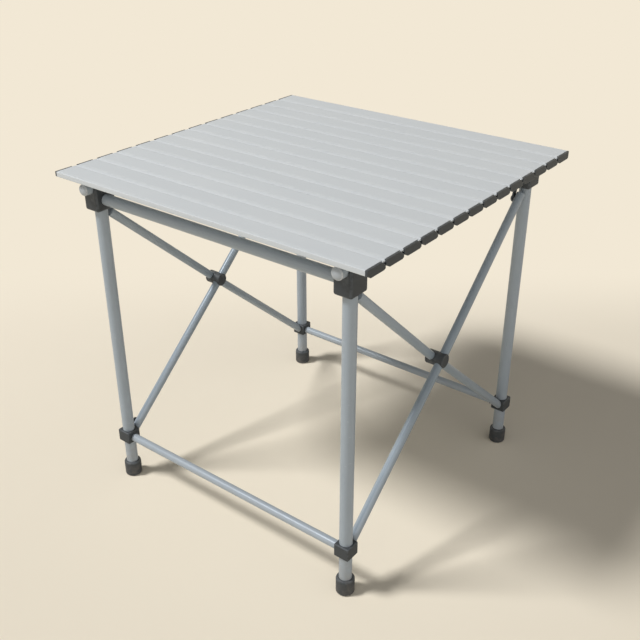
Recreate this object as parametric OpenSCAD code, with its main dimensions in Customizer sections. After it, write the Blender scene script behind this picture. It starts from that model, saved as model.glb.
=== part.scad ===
// Roll top camp table: a top of hinged aluminium slats on two rails, over a folding frame with crossed side braces.
// X runs along the slats, Y from front to rear, Z up from the floor. The floor is z = 0, sizes are in mm.

/* [Top] */
// Height of the top surface above the floor
table_h = 692; // [640:1:740]
// Width of the top over the end caps
top_w = 700; // [660:1:740]
// Distance from one slat to the next
slat_pitch = 49.2; // [47:0.2:52]
// Gap between the boxes of two slats
slat_gap = 1; // [0.6:0.1:1.6]
// Height of a slat
slat_h = 15.3; // [14:0.1:18]
// Wall of the slat extrusion
slat_wall = 1.1; // [0.8:0.1:1.6]
// Thickness of an end cap outside the slat
cap_t = 4; // [2:0.5:5]
// Depth of the end cap's plug inside the slat
plug_depth = 8; // [4:1:14]
// Radius of the bead that the slats turn on
bead_r = 1.5; // [1.3:0.05:1.6]
// Running clearance of the bead in its groove
hinge_fit = 0.08; // [0.04:0.01:0.1]

/* [Rails] */
// Diameter of a rail
rail_d = 22; // [20:0.5:24]
// Length of a rail tube without its end plugs
rail_len = 664; // [640:1:668]
// Height of the dome on a rail end plug
dome_h = 5; // [3:0.5:8]
// Gap between the rails and what lies over or under them
rail_gap = 0.3; // [0.2:0.05:0.5]

/* [Frame] */
// Distance between the leg axes along the slats
leg_span_x = 577; // [540:1:600]
// Distance between the leg axes from front to rear
leg_span_y = 596; // [560:1:610]
// Diameter of a leg
leg_d = 24.5; // [22:0.5:26]
// Wall of all the tubes
tube_wall = 1.5; // [1:0.1:2]
// Diameter of a foot cap
foot_d = 35.5; // [32:0.5:36]
// Height of a foot cap
foot_h = 35; // [28:1:45]
// Floor of a foot cap under the leg
foot_floor = 4; // [3:0.5:6]
// Size of a corner block along the slats
block_w = 36; // [34:0.5:40]
// Size of a corner block from front to rear
block_l = 44; // [40:0.5:48]
// Height of a corner block
block_h = 47.5; // [45:0.5:54]
// Side of the square collar
collar_w = 32; // [30:0.5:34]
// Height of a collar
collar_h = 27.5; // [24:0.5:32]
// Height of the middle of a collar above the floor
collar_z = 102.7; // [90:0.5:130]
// Diameter of the top crossbars
crossbar_d = 22; // [18:0.5:24]
// Diameter of the lower stretchers
stretcher_d = 17; // [14:0.5:20]
// Length of the spigots inside the crossbars and stretchers
spigot_len = 20; // [10:1:30]
// Push fit of the pieces that stay together
push_fit = 0.05; // [0.02:0.01:0.1]

/* [Braces] */
// Diameter of a brace
brace_d = 17; // [15:0.5:17.5]
// How far a front brace bends out to the left where it crosses the rear one
front_bend = 16.5; // [16.3:0.1:17]
// How far a rear brace bends out to the right there
rear_bend = 2.5; // [2.3:0.1:3]
// Distance from a leg's axis in to the brace pins
brace_inset = 28; // [28:0.5:32]
// Length of a brace beyond its upper pin
stub_up = 13; // [10:0.5:13]
// Length of a brace beyond its lower pin
stub_low = 5; // [4:0.5:5]
// Drop of the upper brace pins under the corner blocks
pin_drop = 20.7; // [18:0.1:26]
// Height of the lower brace pins over the middle of the collars
pin_rise = 14.3; // [12:0.1:18]
// Diameter of the brace pins and hub rivets
pin_d = 6; // [5:0.5:7]
// Running clearance round the pins
pin_fit = 0.06; // [0.03:0.01:0.1]
// Gap between a brace and the lug beside it
lug_gap = 1.2; // [1:0.1:1.5]
// Thickness of a lug
lug_t = 3; // [2.5:0.5:4]
// Diameter of a hub
hub_d = 28; // [26:0.5:34]
// Half of the gap between the two halves of a hub
hub_gap = 0.3; // [0.2:0.05:0.5]

/* [Hidden] */
$fn = 48;
metal = [0.76, 0.78, 0.79];
tube_grey = [0.56, 0.58, 0.6];
charcoal = [0.24, 0.24, 0.25];

// Top
slat_count = 14;
slat_w = slat_pitch - slat_gap;
slat_len = top_w - 2 * cap_t;
top_front = -(slat_count * slat_pitch - slat_gap) / 2;
slat_z0 = table_h - slat_h;
front_h = 9.3;
chamfer_run = 10;
rear_drop = 8.3;
bevel_run = 4;
bevel_rise = 1.8;
bevel_in = 0.214;
bevel_up = 0.647;
notch_run = 10.9;
edge_cut = 0.8;
hinge_back = 6.6;
hinge_drop = 2.4;
groove_u = slat_pitch - hinge_back;
groove_r = bead_r + hinge_fit;
neck_t = 1.1;
neck_u = 4.7;
arm_u = 3.2;
arm_root = 5.2;
mouth_low = -32;
mouth_high = 85;
lip_r = 2.8;
shoulder_u = 2.6;
shoulder_w = 3.2;
mouth_reach = 9;
hollow_shoulder = [3, 5.6];
hollow_under = [-1.8, 4.6];
hollow_back = 3;
inset_up = 0.4;
inset_in = 0.3;
plug_fit = 0.15;

// Rails
rail_z = slat_z0 - rail_gap - rail_d / 2;
plug_len = 12;
clip_t = 2.5;
clip_l = 18;
clip_h = 7.5;
clip_gap = 0.8;
clip_u = 24;

// Frame
leg_x = leg_span_x / 2;
leg_y = leg_span_y / 2;
block_rise = 2.6;
block_z1 = rail_z + block_rise;
block_z0 = block_z1 - block_h;
block_round = 4.5;
socket_depth = 27.5;
leg_z1 = block_z0 + socket_depth;
crossbar_rise = 20.8;
crossbar_z = block_z0 + crossbar_rise;
collar_round = 2.5;
stretcher_drop = 2.7;
stretcher_z = collar_z - stretcher_drop;
spigot_root = 2;
foot_round = 4;
foot_lip = 2;
cut = 1;

// Braces
pin_y = leg_y - brace_inset;
pin_z1 = block_z0 - pin_drop;
pin_z0 = collar_z + pin_rise;
hub_z = (pin_z0 + pin_z1) / 2;
brace_half = sqrt(pow(pin_y, 2) + pow((pin_z1 - pin_z0) / 2, 2));
brace_tilt = atan2(pin_z1 - pin_z0, 2 * pin_y);
closed_end = 20;
lug_r = 7;
block_lug = [[-17, pin_drop + 10], [-5.5, pin_drop + 10], [5.5, 4], [-5.5, -4]];
collar_lug = [[-15, -13], [-4, -5.5], [-4, 5.5], [-15, -2]];
lug_x = brace_d / 2 + lug_gap;
pin_head_d = 10;
pin_head_t = 2;
head_gap = 0.3;
notch_gap = 0.1;
notch_depth = 16;
pin_bore_end = 6.5;
pin_short = 0.3;
rivet_short = 1;
hub_cover = 1;

// A drawing in the Y-Z plane, given a thickness along +X.
module along_x(x, w) {
  translate([x, 0, 0])
    rotate([90, 0, 90])
      linear_extrude(w)
        children();
}

// Places a drawing of one slat, whose front edge and top are zero, at its position in the top.
module at_slat(i) {
  translate([top_front + (i - 1) * slat_pitch, table_h])
    children();
}

function slat_front(i) = i == 1
  ? [[edge_cut, 0], [0, -edge_cut]]
  : [[-arm_u, 0], [-neck_u, neck_t / 2 - hinge_drop], [-hinge_back, neck_t / 2 - hinge_drop],
     [-hinge_back, -neck_t / 2 - hinge_drop], [-neck_u + edge_cut, -neck_t / 2 - hinge_drop], [0, -arm_root]];

function slat_rear(i) = i == slat_count
  ? [[slat_w, -edge_cut], [slat_w - edge_cut, 0]]
  : [[slat_w, -rear_drop], [groove_u + shoulder_u, -hinge_drop - shoulder_w],
     [groove_u + lip_r * cos(mouth_low), -hinge_drop + lip_r * sin(mouth_low)], [groove_u + edge_cut, 0]];

// The underside of a slat, or of its hollow with walls w thick: bevelled wide at the front and narrow at the rear,
// so that the rear corner keeps clear of the rails when the slat turns up.
function slat_under(w) = [[w, w * inset_up - front_h], [chamfer_run + w * inset_in, w - slat_h],
                          [slat_w - bevel_run - w * bevel_in, w - slat_h],
                          [slat_w - w, bevel_rise + w * bevel_up - slat_h]];

// The hollow of a slat, with walls w thick.
function slat_hollow(i, w) = i == slat_count
  ? concat([[w, -w]], slat_under(w), [[slat_w - w, -w]])
  : concat([[w, -w]], slat_under(w),
      [[slat_w - w, -rear_drop - w / 2], [groove_u + hollow_shoulder[0] - w, -hollow_shoulder[1] - w],
       [groove_u + hollow_under[0] - w, -hollow_under[1] - w], [groove_u - hollow_back - w, -w]]);

// The hollow in two chambers, with a web between them.
module chambers(i, w) {
  difference() {
    polygon(slat_hollow(i, w));
    translate([(slat_w - w) / 2, -slat_h])
      square([w, slat_h]);
  }
}

// The way out of the groove, through which the neck of the next slat passes.
module mouth() {
  polygon([[0, 0], mouth_reach * [cos(mouth_low), sin(mouth_low)], [mouth_reach, mouth_reach],
           mouth_reach * [cos(mouth_high), sin(mouth_high)]]);
}

module slat(i) {
  color(metal)
    along_x(-slat_len / 2, slat_len)
      at_slat(i)
        difference() {
          union() {
            polygon(concat(slat_front(i), slat_under(0), slat_rear(i)));
            if (i > 1)
              translate([-hinge_back, -hinge_drop])
                circle(bead_r);
          }
          chambers(i, slat_wall);
          if (i < slat_count)
            translate([groove_u, -hinge_drop]) {
              circle(groove_r);
              mouth();
            }
        }
}

function cap_rear(i) = i == slat_count ? [[slat_w, 0]] : [[slat_w, -rear_drop], [slat_w - notch_run, 0]];

module cap(i) {
  along_x(slat_len / 2, cap_t)
    at_slat(i)
      polygon(concat([[0, 0]], slat_under(0), cap_rear(i)));
  along_x(slat_len / 2 - plug_depth, plug_depth + cap_t / 2)
    at_slat(i)
      chambers(i, slat_wall + plug_fit);
}

module caps(i) {
  color(charcoal) {
    cap(i);
    mirror([1, 0, 0])
      cap(i);
  }
}

// Pairs of small guides under the rear slat, one on each side of each rail.
module rail_clips() {
  guide_x = rail_d / 2 + clip_gap;
  color(charcoal)
    for (sx = [-1, 1], side = [-1, 1])
      translate([sx * leg_x + side * (guide_x + clip_t / 2) - clip_t / 2,
                 top_front + (slat_count - 1) * slat_pitch + clip_u - clip_l / 2, slat_z0 - clip_h])
        cube([clip_t, clip_l, clip_h]);
}

module tube(d, h) {
  difference() {
    cylinder(d = d, h = h);
    translate([0, 0, -cut])
      cylinder(d = d - 2 * tube_wall, h = h + 2 * cut);
  }
}

module rail(sx) {
  color(tube_grey)
    translate([sx * leg_x, rail_len / 2, rail_z])
      rotate([90, 0, 0])
        tube(rail_d, rail_len);
}

// A domed plug, along +Z from the end of the tube.
module rail_plug() {
  steps = 6;
  rotate_extrude()
    polygon(concat([[0, -plug_len], [rail_d / 2 - tube_wall - push_fit, -plug_len],
                    [rail_d / 2 - tube_wall - push_fit, 0]],
                   [for (k = [0 : steps]) [rail_d / 2 * cos(90 * k / steps), dome_h * sin(90 * k / steps)]]));
}

module rail_plugs() {
  color(tube_grey)
    for (sx = [-1, 1], sy = [-1, 1])
      translate([sx * leg_x, sy * rail_len / 2, rail_z])
        rotate([-90 * sy, 0, 0])
          rail_plug();
}

module leg(sx, sy) {
  color(tube_grey)
    translate([sx * leg_x, sy * leg_y, foot_floor])
      tube(leg_d, leg_z1 - foot_floor);
}

// A box of size s round its middle, with all of its edges rounded.
module soft_box(s, r) {
  hull()
    for (x = [-1, 1], y = [-1, 1], z = [-1, 1])
      translate([x * (s[0] / 2 - r), y * (s[1] / 2 - r), z * (s[2] / 2 - r)])
        sphere(r, $fn = 24);
}

// A spigot that points inwards along X from the face of a block or collar.
module spigot(sx, face, z, d) {
  translate([sx * (leg_x - face + spigot_root), 0, z])
    rotate([0, -90 * sx, 0])
      cylinder(d = d - 2 * tube_wall - 2 * push_fit, h = spigot_len + spigot_root);
}

// The side lug beside a brace end: a disc round the pin and a bar, given from the pin as [inwards, up].
module lug(sx, sy, pin_h, bar) {
  along_x(sx * leg_x - lug_x - lug_t, lug_t) {
    translate([sy * pin_y, pin_h])
      circle(lug_r);
    polygon([for (p = bar) [sy * (pin_y - p[0]), pin_h + p[1]]]);
  }
}

module leg_bore(sx, sy, z0, z1) {
  translate([sx * leg_x, sy * leg_y, z0])
    cylinder(d = leg_d + 2 * push_fit, h = z1 - z0);
}

module block(sx, sy) {
  color(charcoal)
    difference() {
      union() {
        translate([sx * leg_x, sy * leg_y, block_z0 + block_h / 2])
          soft_box([block_w, block_l, block_h], block_round);
        translate([0, sy * leg_y, 0])
          spigot(sx, block_w / 2, crossbar_z, crossbar_d);
        lug(sx, sy, pin_z1, block_lug);
      }
      leg_bore(sx, sy, block_z0 - cut, leg_z1);
      saddle_d = rail_d + 2 * rail_gap;
      translate([sx * leg_x, sy * leg_y + block_l, rail_z])
        rotate([90, 0, 0])
          cylinder(d = saddle_d, h = 2 * block_l);
      translate([sx * leg_x - saddle_d / 2, sy * leg_y - block_l, rail_z])
        cube([saddle_d, 2 * block_l, block_h]);
      translate([sx * leg_x - lug_x - 2 * lug_t, sy * pin_y, pin_z1])
        rotate([0, 90, 0])
          cylinder(d = pin_d + 2 * pin_fit, h = 3 * lug_t);
    }
}

module collar(sx, sy) {
  slot_w = pin_d + 2 * notch_gap;
  color(charcoal)
    difference() {
      union() {
        translate([sx * leg_x, sy * leg_y, collar_z])
          soft_box([collar_w, collar_w, collar_h], collar_round);
        translate([0, sy * leg_y, 0])
          spigot(sx, collar_w / 2, stretcher_z, stretcher_d);
        lug(sx, sy, pin_z0, collar_lug);
      }
      leg_bore(sx, sy, collar_z - collar_h, collar_z + collar_h);
      translate([sx * leg_x - lug_x - 2 * lug_t, sy * pin_y - slot_w / 2, pin_z0 - notch_depth])
        cube([3 * lug_t, slot_w, notch_depth + slot_w / 2]);
    }
}

// A foot cap: a cup with a rounded base and a rounded rim.
module foot() {
  steps = 4;
  r = foot_d / 2;
  inner = leg_d / 2 + push_fit;
  rotate_extrude()
    polygon(concat([[0, 0]],
      [for (k = [0 : steps]) let (t = 90 * k / steps)
        [r - foot_round + foot_round * sin(t), foot_round * (1 - cos(t))]],
      [for (k = [0 : steps]) let (t = 90 * k / steps)
        [r - foot_lip + foot_lip * cos(t), foot_h - foot_lip + foot_lip * sin(t)]],
      [[inner, foot_h], [inner, foot_floor], [0, foot_floor]]));
}

module feet(sy) {
  color(charcoal)
    for (sx = [-1, 1])
      translate([sx * leg_x, sy * leg_y, 0])
        foot();
}

// A bar between the left and right faces of the blocks or collars.
module bar(sy, d, face, z) {
  color(tube_grey)
    translate([face - leg_x, sy * leg_y, z])
      rotate([0, 90, 0])
        tube(d, 2 * (leg_x - face));
}

// Places what is drawn about the hub, with Y along the brace and +X out to its bend: s is -1 for a front brace,
// which bends out to the left, and 1 for a rear brace, which bends out to the right.
module along_brace(sx, s) {
  translate([sx * leg_x, 0, hub_z])
    rotate([s * brace_tilt, 0, 0])
      rotate([0, s > 0 ? 0 : 180, 0])
        children();
}

// How far a brace bends out along its own +X.
function bend(s) = s > 0 ? rear_bend : front_bend;

// The bent rod of a brace, longer by up and low than the way to its upper and lower pin. Its two straight halves
// meet in a mitre inside the hub.
module bent_rod(s, r, up, low) {
  lean = atan2(bend(s), brace_half);
  half_len = sqrt(pow(brace_half, 2) + pow(bend(s), 2));
  for (e = [-1, 1])
    intersection() {
      translate([bend(s), 0, 0])
        rotate([0, 0, e * lean])
          rotate([-90 * e, 0, 0])
            translate([0, 0, -brace_d])
              cylinder(r = r, h = brace_d + half_len + (e == s ? up : low));
      translate([-2 * brace_d, e > 0 ? 0 : -2 * brace_half, -brace_d])
        cube([5 * brace_d, 2 * brace_half, 2 * brace_d]);
    }
}

module rod_x(r, x0, x1) {
  translate([x0, 0, 0])
    rotate([0, 90, 0])
      cylinder(r = r, h = x1 - x0);
}

// The pin bores are open to the left, where the lugs are.
module brace(sx, s) {
  color(tube_grey)
    along_brace(sx, s)
      difference() {
        bent_rod(s, brace_d / 2, stub_up, stub_low);
        bent_rod(s, brace_d / 2 - tube_wall, -closed_end, -closed_end);
        for (e = [-1, 1])
          translate([0, e * brace_half, 0])
            rod_x(pin_d / 2 + push_fit, s > 0 ? -brace_d : -pin_bore_end, s > 0 ? pin_bore_end : brace_d);
        rod_x(pin_d / 2 + rivet_gap(s), -2 * brace_d, 2 * brace_d);
      }
}

// The rivet is a push fit in the front braces and turns in the rear ones.
function rivet_gap(s) = s > 0 ? pin_fit : push_fit;

// One half of each hub, from the plane between the two braces to a closed end over its own brace.
module hubs(s) {
  mid = s * (rear_bend - front_bend) / 2;
  color(charcoal)
    for (sx = [-1, 1])
      along_brace(sx, s)
        difference() {
          rod_x(hub_d / 2, mid + hub_gap, bend(s) + brace_d / 2 + hub_cover);
          bent_rod(s, brace_d / 2 + push_fit, 0, 0);
          rod_x(pin_d / 2 + rivet_gap(s), mid - cut, bend(s));
        }
}

module hub_rivets() {
  reach = brace_d / 2 - rivet_short;
  color(metal)
    for (sx = [-1, 1])
      translate([sx * leg_x, 0, hub_z])
        rod_x(pin_d / 2, -front_bend - reach, rear_bend + reach);
}

// The pins in the four ends of a pair of braces, with their heads behind the lugs.
module pins(s) {
  head_x = lug_x + lug_t + head_gap;
  color(metal)
    for (sx = [-1, 1], e = [-1, 1])
      translate([sx * leg_x, e * pin_y, hub_z + s * e * (pin_z1 - hub_z)]) {
        rod_x(pin_d / 2, -head_x - pin_head_t / 2, pin_bore_end - pin_short);
        rod_x(pin_head_d / 2, -head_x - pin_head_t, -head_x);
      }
}

slat(1);  // slat_01
slat(2);  // slat_02
slat(3);  // slat_03
slat(4);  // slat_04
slat(5);  // slat_05
slat(6);  // slat_06
slat(7);  // slat_07
slat(8);  // slat_08
slat(9);  // slat_09
slat(10);  // slat_10
slat(11);  // slat_11
slat(12);  // slat_12
slat(13);  // slat_13
slat(14);  // slat_14
caps(1);  // caps_01
caps(2);  // caps_02
caps(3);  // caps_03
caps(4);  // caps_04
caps(5);  // caps_05
caps(6);  // caps_06
caps(7);  // caps_07
caps(8);  // caps_08
caps(9);  // caps_09
caps(10);  // caps_10
caps(11);  // caps_11
caps(12);  // caps_12
caps(13);  // caps_13
caps(14);  // caps_14
rail_clips();
rail(-1);  // rail_left
rail(1);  // rail_right
rail_plugs();
leg(-1, -1);  // leg_front_left
leg(1, -1);  // leg_front_right
leg(-1, 1);  // leg_rear_left
leg(1, 1);  // leg_rear_right
block(-1, -1);  // block_front_left
block(1, -1);  // block_front_right
block(-1, 1);  // block_rear_left
block(1, 1);  // block_rear_right
collar(-1, -1);  // collar_front_left
collar(1, -1);  // collar_front_right
collar(-1, 1);  // collar_rear_left
collar(1, 1);  // collar_rear_right
feet(-1);  // feet_front
feet(1);  // feet_rear
bar(-1, crossbar_d, block_w / 2, crossbar_z);  // crossbar_front
bar(1, crossbar_d, block_w / 2, crossbar_z);  // crossbar_rear
bar(-1, stretcher_d, collar_w / 2, stretcher_z);  // stretcher_front
bar(1, stretcher_d, collar_w / 2, stretcher_z);  // stretcher_rear
brace(-1, -1);  // brace_front_left
brace(1, -1);  // brace_front_right
brace(-1, 1);  // brace_rear_left
brace(1, 1);  // brace_rear_right
hubs(-1);  // hubs_front
hubs(1);  // hubs_rear
hub_rivets();
pins(-1);  // pins_front
pins(1);  // pins_rear
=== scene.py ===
# %% [markdown]
# # A roll top camp table
# The table has a top of hinged aluminium slats with dark end caps. The top lies on two rails, and the
# rails lie in the saddles of four corner blocks. Under them stand four tube legs, tied by bars and by
# crossed side braces. The construction model gives the overall box, the places and every moving body, so
# it is loaded first and its box is kept. Its plain nodes could be shown as they are, but real pieces have
# rounded edges and a finish, so each piece is made again, in the same place and on the same body.

# %% Load the construction model
import math

import bmesh
import bpy
from mathutils import Matrix, Vector


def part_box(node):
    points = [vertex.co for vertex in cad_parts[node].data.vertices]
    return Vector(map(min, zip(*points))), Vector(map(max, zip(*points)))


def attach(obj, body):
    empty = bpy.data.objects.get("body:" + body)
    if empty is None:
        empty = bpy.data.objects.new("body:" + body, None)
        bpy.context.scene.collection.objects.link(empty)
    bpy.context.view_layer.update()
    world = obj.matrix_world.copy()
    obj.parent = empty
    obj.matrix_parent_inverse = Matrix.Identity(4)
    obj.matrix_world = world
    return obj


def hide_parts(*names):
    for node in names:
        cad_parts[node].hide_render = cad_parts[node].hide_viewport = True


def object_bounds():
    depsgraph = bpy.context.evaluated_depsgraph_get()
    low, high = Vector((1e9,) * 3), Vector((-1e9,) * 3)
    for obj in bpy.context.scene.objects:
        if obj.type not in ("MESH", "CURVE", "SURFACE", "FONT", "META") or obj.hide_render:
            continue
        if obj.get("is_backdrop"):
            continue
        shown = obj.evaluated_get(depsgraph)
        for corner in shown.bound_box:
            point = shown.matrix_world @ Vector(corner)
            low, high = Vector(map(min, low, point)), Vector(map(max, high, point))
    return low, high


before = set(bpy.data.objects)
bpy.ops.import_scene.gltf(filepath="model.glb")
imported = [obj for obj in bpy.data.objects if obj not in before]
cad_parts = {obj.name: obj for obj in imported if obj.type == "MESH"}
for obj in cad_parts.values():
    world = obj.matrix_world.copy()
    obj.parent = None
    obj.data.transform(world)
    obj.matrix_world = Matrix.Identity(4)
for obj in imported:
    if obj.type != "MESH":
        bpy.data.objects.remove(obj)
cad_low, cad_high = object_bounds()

MM = 0.001


def sides_mm(low, high):
    return [round((b - a) / MM, 1) for a, b in zip(low, high)]


print("construction model, mm:", sides_mm(cad_low, cad_high))

# %% [markdown]
# ## The camera
# The picture was taken from in front, to the right and above. A camera can be moved by eye until the view
# looks right. A fit is surer: the corners of the top, the leg axes and the feet were matched to a pinhole
# camera with a square picture, and that gave its place, its turn in degrees and its lens.

# %% The camera
CAMERA_PLACE = (0.99507, -1.29046, 1.23723)
CAMERA_TURN = (61.378, 0.030, 37.615)
LENS_MM = 50.17
SENSOR_MM = 36
VIEW_END = 60


def new_object(name, data):
    made = bpy.data.objects.new(name, data)
    bpy.context.scene.collection.objects.link(made)
    return made


camera_data = bpy.data.cameras.new("camera")
camera_data.sensor_width = SENSOR_MM
camera_data.lens = LENS_MM
camera_data.clip_end = VIEW_END
camera = new_object("camera", camera_data)
camera.location = CAMERA_PLACE
camera.rotation_euler = [math.radians(angle) for angle in CAMERA_TURN]
bpy.context.scene.camera = camera
print("camera at", CAMERA_PLACE, "with a lens of", LENS_MM, "mm")

# %% [markdown]
# ## Shader arithmetic
# A finish is a net of nodes, and a net drawn as boxes and links soon gets hard to read. Sums are easier.
# A `Wire` holds one socket, and an expression on it adds the Math node that works it out, so `1 - mask`
# reads as it does on paper.


# %% Wires
class Wire:
    """A socket of a node tree that takes part in arithmetic."""

    def __init__(self, nodes, socket):
        self.nodes = nodes
        self.socket = socket

    def math(self, operation, *values):
        sockets = dict(enumerate(values))
        return self.nodes.make("ShaderNodeMath", {"operation": operation}, sockets)

    def __add__(self, other):
        return self.math("ADD", self, other)

    def __sub__(self, other):
        return self.math("SUBTRACT", self, other)

    def __rsub__(self, other):
        return self.math("SUBTRACT", other, self)

    def __mul__(self, other):
        return self.math("MULTIPLY", self, other)

    def __truediv__(self, other):
        return self.math("DIVIDE", self, other)

    __radd__ = __add__
    __rmul__ = __mul__

    def floor(self):
        return self.math("FLOOR", self)

    def root(self):
        return self.math("SQRT", self)

    def most(self, other):
        return self.math("MAXIMUM", self, other)

    def between(self, low, high):
        """0 below low, 1 above high, and smooth in between."""
        settings = {"interpolation_type": "SMOOTHSTEP"}
        sockets = {"Value": self, "From Min": low, "From Max": high}
        return self.nodes.make("ShaderNodeMapRange", settings, sockets)


print("wires join by + - * / and", ", ".join(("floor", "root", "most", "between")))

# %% [markdown]
# ## Node trees and finishes
# Every node comes from one method, `make`. It takes the node's type, its settings, and then what goes
# into its sockets, which is a plain value or a wire. `Nodes` does this for any tree, so the surroundings
# can use it too. A `Finish` is a tree with a material and one Principled shader, and `feed` fills that
# shader's inputs.


# %% Node trees and finishes
class Nodes:
    """A node tree in which one method makes every node."""

    def __init__(self, tree):
        self.tree = tree

    def make(self, kind, settings=None, sockets=None, out=0):
        node = self.tree.nodes.new(kind)
        for key, value in (settings or {}).items():
            setattr(node, key, value)
        for key, value in (sockets or {}).items():
            self.join(value, node.inputs[key])
        return Wire(self, node.outputs[out])

    def join(self, value, socket):
        if isinstance(value, Wire):
            self.tree.links.new(value.socket, socket)
        else:
            socket.default_value = value


class Finish(Nodes):
    """A material with one Principled shader, and the nodes that feed it."""

    def __init__(self, name, **constants):
        self.material = bpy.data.materials.new(name)
        self.material.use_nodes = True
        super().__init__(self.material.node_tree)
        self.shader = self.tree.nodes["Principled BSDF"]
        self.feed(**constants)

    def feed(self, **values):
        """Fills inputs of the shader. A name has _ where the input's name has a space."""
        for name, value in values.items():
            self.join(value, self.shader.inputs[name.replace("_", " ")])

    def place(self):
        return self.make("ShaderNodeTexCoord", out="Object")

    def kept(self, name, out):
        """A value that was stored on the mesh when the piece was made."""
        return self.make("ShaderNodeAttribute", {"attribute_name": name}, out=out)

    def parts(self, vector):
        node = self.make("ShaderNodeSeparateXYZ", sockets={0: vector}).socket.node
        return [Wire(self, node.outputs[i]) for i in range(3)]

    def vector(self, x, y, z):
        return self.make("ShaderNodeCombineXYZ", sockets={0: x, 1: y, 2: z})

    def noise(self, vector, scale, detail=3.0, roughness=0.5):
        sockets = {"Vector": vector, "Scale": scale, "Detail": detail, "Roughness": roughness}
        return self.make("ShaderNodeTexNoise", sockets=sockets)

    def mix(self, factor, a, b):
        return self.make("ShaderNodeMix", {"data_type": "RGBA"}, {0: factor, 6: a, 7: b}, out=2)

    def bump(self, height, strength, distance):
        sockets = {"Height": height, "Strength": strength, "Distance": distance}
        return self.make("ShaderNodeBump", sockets=sockets)


def grey(value, warm=0.0):
    """A grey as a shader colour: yellowish where warm is above zero, bluish where it is below."""
    return (value * (1 + warm), value, value * (1 - warm), 1.0)


print("a bluish middle grey:", grey(0.5, -0.1))

# %% [markdown]
# ## The slats' finish
# The slats are extruded aluminium with a satin anodised skin. The die leaves very fine lines along each
# slat, no two slats take the dye quite alike, and use leaves faint rubbed patches, a few hairline
# scratches across the grain and brighter corners. Dust settles in the seams, and painted shade darkens
# the slopes of the hinges there too. The lines could come from a picture of brushed metal, but noise that
# is drawn out along X stays sharp from any distance. It is laid on the object's own coordinates, in which
# a slat always runs along X, so it also stays in place when the top is rolled up.

# %% Slat finish
SLAT_PITCH = 49.2 * MM
TOP_FRONT = cad_low[1]
ARM_SHARE = 0.12  # the part of a pitch by which the hinge arm of a slat shows in front of it
SLAT_DEEP = grey(0.558, -0.065)
SLAT_PALE = grey(0.650, -0.065)
SLAT_BARE = grey(0.69, -0.05)
DUST = grey(0.30, 0.12)

slat_finish = Finish("satin_slat", Metallic=0.25, Specular_IOR_Level=0.3)
place = slat_finish.place()
x, y, z = slat_finish.parts(place)
row = ((y - TOP_FRONT) / SLAT_PITCH + ARM_SHARE).floor()
tone = slat_finish.make("ShaderNodeTexWhiteNoise", {"noise_dimensions": "1D"}, {"W": row})
die_lines = slat_finish.noise(slat_finish.vector(x * 2.5, y * 1500, z * 1500), 1.0, 4.0, 0.6)
rubbed = slat_finish.noise(slat_finish.vector(x * 5, y * 9, z * 9), 1.0, 5.0, 0.55).between(0.42, 0.68)
slant = slat_finish.noise(slat_finish.vector(x * 8 + y * 5, y * 420 - x * 260, z), 1.0, 2.0, 0.4)
scratch = slant.between(0.735, 0.765) * slat_finish.noise(place, 7.0).between(0.5, 0.6)
corner = slat_finish.kept("edge", "Fac") * slat_finish.noise(place, 90.0, 3.0).between(0.35, 0.6)
# dust and painted shade: on the marked hinge slopes the seams are darkened, partly as dust and partly as the
# shade that falls in them
dust = slat_finish.noise(place, 55.0, 5.0, 0.6).between(0.4, 0.75) * slat_finish.kept("seam", "Fac")
shade = 0.45 + 0.16 * tone + 0.3 * (die_lines - 0.5) + 0.14 * rubbed
skin = slat_finish.mix(shade, SLAT_DEEP, SLAT_PALE)
skin = slat_finish.mix(0.4 * scratch + 0.25 * corner, skin, SLAT_BARE)
# painted shade in the seams, together with dust, mixed towards the dust colour
skin = slat_finish.mix(0.15 * dust, skin, DUST)
slat_finish.feed(
    Base_Color=skin,
    Roughness=0.54 + 0.12 * (die_lines - 0.5) - 0.06 * rubbed + 0.25 * dust - 0.05 * corner,
    Normal=slat_finish.bump(die_lines * 0.6 - scratch, 0.25, 0.12 * MM),
)
print("slat finish:", len(slat_finish.tree.nodes), "nodes")

# %% [markdown]
# ## The tubes' finish
# Legs, bars, braces and rails are drawn tubes with a darker, cooler anodised skin. Drawing leaves lines
# along each tube, and the tubes point in several directions. One material for each direction would do,
# but a single one is easier to keep alike: every tube stores its own coordinates in an attribute called
# `grain`, whose first number runs along the tube. Low down the tubes are a little scuffed and dusty from
# the ground.

# %% Tube finish
TUBE_DEEP = grey(0.276, -0.16)
TUBE_PALE = grey(0.360, -0.16)
TUBE_BARE = grey(0.54, -0.08)

tube_finish = Finish("drawn_tube", Metallic=0.05, Specular_IOR_Level=0.15)
place = tube_finish.place()
height = tube_finish.parts(place)[2]
along, across, over = tube_finish.parts(tube_finish.kept("grain", "Vector"))
drawn = tube_finish.noise(tube_finish.vector(along * 3, across * 900, over * 900), 1.0, 4.0, 0.55)
rubbed = tube_finish.noise(place, 14.0, 5.0, 0.6).between(0.4, 0.7)
nick_lines = tube_finish.noise(tube_finish.vector(along * 260, across * 60, over * 60), 1.0, 2.0)
nick = nick_lines.between(0.70, 0.74) * tube_finish.noise(place, 11.0).between(0.52, 0.62)
grime = tube_finish.noise(place, 40.0, 5.0, 0.65).between(0.3, 0.75)
ground = (1 - height.between(0.02, 0.16)) * grime
corner = tube_finish.kept("edge", "Fac")
shade = 0.5 + 0.55 * (drawn - 0.5) + 0.22 * (rubbed - 0.5)
skin = tube_finish.mix(shade, TUBE_DEEP, TUBE_PALE)
skin = tube_finish.mix(0.5 * nick + 0.35 * corner, skin, TUBE_BARE)
skin = tube_finish.mix(0.45 * ground, skin, DUST)
tube_finish.feed(
    Base_Color=skin,
    Roughness=0.28 + 0.06 * (drawn - 0.5) + 0.06 * rubbed + 0.3 * ground,
    Normal=tube_finish.bump(drawn * 0.3 - nick, 0.1, 0.1 * MM),
)
print("tube finish:", len(tube_finish.tree.nodes), "nodes")

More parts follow.
